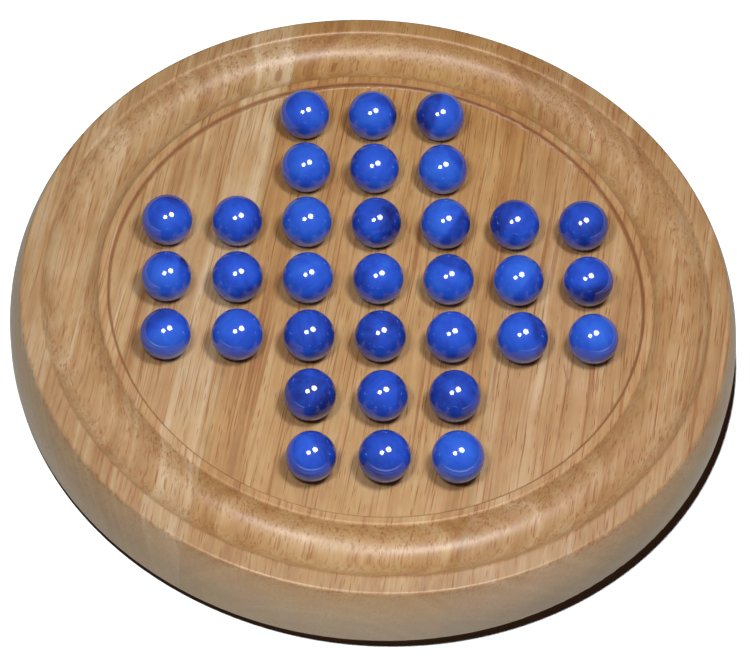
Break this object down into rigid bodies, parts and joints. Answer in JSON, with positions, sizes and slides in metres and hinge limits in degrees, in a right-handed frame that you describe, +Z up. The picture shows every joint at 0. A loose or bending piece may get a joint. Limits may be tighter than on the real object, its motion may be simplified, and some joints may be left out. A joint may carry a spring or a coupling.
{
  "type": "marble solitaire board",
  "caption": "Round turned wooden peg-solitaire board with a cross of ball-cut dimples, a groove for captured marbles, and a glass marble in every dimple.",
  "frame": {"origin": "centre of the underside, on the surface that the board rests on", "axes": "+Z up; +X along the rows of marbles, to the right; +Y along the columns, away from the player"},
  "size_m": [0.23, 0.23, 0.035],
  "materials": {
    "left_stave_wood": "satin varnish",
    "middle_stave_wood": "satin varnish",
    "right_stave_wood": "satin varnish",
    "marble_glass": "opaque, polished with a lustre coat"
  },
  "bodies": {
    "board": {"left_stave": "left_stave_wood", "middle_stave": "middle_stave_wood", "right_stave": "right_stave_wood"},
    "marble_c1": {"marble_c1": "marble_glass"},
    "marble_d1": {"marble_d1": "marble_glass"},
    "marble_e1": {"marble_e1": "marble_glass"},
    "marble_c2": {"marble_c2": "marble_glass"},
    "marble_d2": {"marble_d2": "marble_glass"},
    "marble_e2": {"marble_e2": "marble_glass"},
    "marble_a3": {"marble_a3": "marble_glass"},
    "marble_b3": {"marble_b3": "marble_glass"},
    "marble_c3": {"marble_c3": "marble_glass"},
    "marble_d3": {"marble_d3": "marble_glass"},
    "marble_e3": {"marble_e3": "marble_glass"},
    "marble_f3": {"marble_f3": "marble_glass"},
    "marble_g3": {"marble_g3": "marble_glass"},
    "marble_a4": {"marble_a4": "marble_glass"},
    "marble_b4": {"marble_b4": "marble_glass"},
    "marble_c4": {"marble_c4": "marble_glass"},
    "marble_d4": {"marble_d4": "marble_glass"},
    "marble_e4": {"marble_e4": "marble_glass"},
    "marble_f4": {"marble_f4": "marble_glass"},
    "marble_g4": {"marble_g4": "marble_glass"},
    "marble_a5": {"marble_a5": "marble_glass"},
    "marble_b5": {"marble_b5": "marble_glass"},
    "marble_c5": {"marble_c5": "marble_glass"},
    "marble_d5": {"marble_d5": "marble_glass"},
    "marble_e5": {"marble_e5": "marble_glass"},
    "marble_f5": {"marble_f5": "marble_glass"},
    "marble_g5": {"marble_g5": "marble_glass"},
    "marble_c6": {"marble_c6": "marble_glass"},
    "marble_d6": {"marble_d6": "marble_glass"},
    "marble_e6": {"marble_e6": "marble_glass"},
    "marble_c7": {"marble_c7": "marble_glass"},
    "marble_d7": {"marble_d7": "marble_glass"},
    "marble_e7": {"marble_e7": "marble_glass"}
  },
  "joints": [
    {"name": "lift_c1", "type": "slide", "parent": "board", "child": "marble_c1", "axis": [0, 0, 1], "range_m": [0, 0.03]},
    {"name": "lift_d1", "type": "slide", "parent": "board", "child": "marble_d1", "axis": [0, 0, 1], "range_m": [0, 0.03]},
    {"name": "lift_e1", "type": "slide", "parent": "board", "child": "marble_e1", "axis": [0, 0, 1], "range_m": [0, 0.03]},
    {"name": "lift_c2", "type": "slide", "parent": "board", "child": "marble_c2", "axis": [0, 0, 1], "range_m": [0, 0.03]},
    {"name": "lift_d2", "type": "slide", "parent": "board", "child": "marble_d2", "axis": [0, 0, 1], "range_m": [0, 0.03]},
    {"name": "lift_e2", "type": "slide", "parent": "board", "child": "marble_e2", "axis": [0, 0, 1], "range_m": [0, 0.03]},
    {"name": "lift_a3", "type": "slide", "parent": "board", "child": "marble_a3", "axis": [0, 0, 1], "range_m": [0, 0.03]},
    {"name": "lift_b3", "type": "slide", "parent": "board", "child": "marble_b3", "axis": [0, 0, 1], "range_m": [0, 0.03]},
    {"name": "lift_c3", "type": "slide", "parent": "board", "child": "marble_c3", "axis": [0, 0, 1], "range_m": [0, 0.03]},
    {"name": "lift_d3", "type": "slide", "parent": "board", "child": "marble_d3", "axis": [0, 0, 1], "range_m": [0, 0.03]},
    {"name": "lift_e3", "type": "slide", "parent": "board", "child": "marble_e3", "axis": [0, 0, 1], "range_m": [0, 0.03]},
    {"name": "lift_f3", "type": "slide", "parent": "board", "child": "marble_f3", "axis": [0, 0, 1], "range_m": [0, 0.03]},
    {"name": "lift_g3", "type": "slide", "parent": "board", "child": "marble_g3", "axis": [0, 0, 1], "range_m": [0, 0.03]},
    {"name": "lift_a4", "type": "slide", "parent": "board", "child": "marble_a4", "axis": [0, 0, 1], "range_m": [0, 0.03]},
    {"name": "lift_b4", "type": "slide", "parent": "board", "child": "marble_b4", "axis": [0, 0, 1], "range_m": [0, 0.03]},
    {"name": "lift_c4", "type": "slide", "parent": "board", "child": "marble_c4", "axis": [0, 0, 1], "range_m": [0, 0.03]},
    {"name": "lift_d4", "type": "slide", "parent": "board", "child": "marble_d4", "axis": [0, 0, 1], "range_m": [0, 0.03]},
    {"name": "lift_e4", "type": "slide", "parent": "board", "child": "marble_e4", "axis": [0, 0, 1], "range_m": [0, 0.03]},
    {"name": "lift_f4", "type": "slide", "parent": "board", "child": "marble_f4", "axis": [0, 0, 1], "range_m": [0, 0.03]},
    {"name": "lift_g4", "type": "slide", "parent": "board", "child": "marble_g4", "axis": [0, 0, 1], "range_m": [0, 0.03]},
    {"name": "lift_a5", "type": "slide", "parent": "board", "child": "marble_a5", "axis": [0, 0, 1], "range_m": [0, 0.03]},
    {"name": "lift_b5", "type": "slide", "parent": "board", "child": "marble_b5", "axis": [0, 0, 1], "range_m": [0, 0.03]},
    {"name": "lift_c5", "type": "slide", "parent": "board", "child": "marble_c5", "axis": [0, 0, 1], "range_m": [0, 0.03]},
    {"name": "lift_d5", "type": "slide", "parent": "board", "child": "marble_d5", "axis": [0, 0, 1], "range_m": [0, 0.03]},
    {"name": "lift_e5", "type": "slide", "parent": "board", "child": "marble_e5", "axis": [0, 0, 1], "range_m": [0, 0.03]},
    {"name": "lift_f5", "type": "slide", "parent": "board", "child": "marble_f5", "axis": [0, 0, 1], "range_m": [0, 0.03]},
    {"name": "lift_g5", "type": "slide", "parent": "board", "child": "marble_g5", "axis": [0, 0, 1], "range_m": [0, 0.03]},
    {"name": "lift_c6", "type": "slide", "parent": "board", "child": "marble_c6", "axis": [0, 0, 1], "range_m": [0, 0.03]},
    {"name": "lift_d6", "type": "slide", "parent": "board", "child": "marble_d6", "axis": [0, 0, 1], "range_m": [0, 0.03]},
    {"name": "lift_e6", "type": "slide", "parent": "board", "child": "marble_e6", "axis": [0, 0, 1], "range_m": [0, 0.03]},
    {"name": "lift_c7", "type": "slide", "parent": "board", "child": "marble_c7", "axis": [0, 0, 1], "range_m": [0, 0.03]},
    {"name": "lift_d7", "type": "slide", "parent": "board", "child": "marble_d7", "axis": [0, 0, 1], "range_m": [0, 0.03]},
    {"name": "lift_e7", "type": "slide", "parent": "board", "child": "marble_e7", "axis": [0, 0, 1], "range_m": [0, 0.03]}
  ]
}
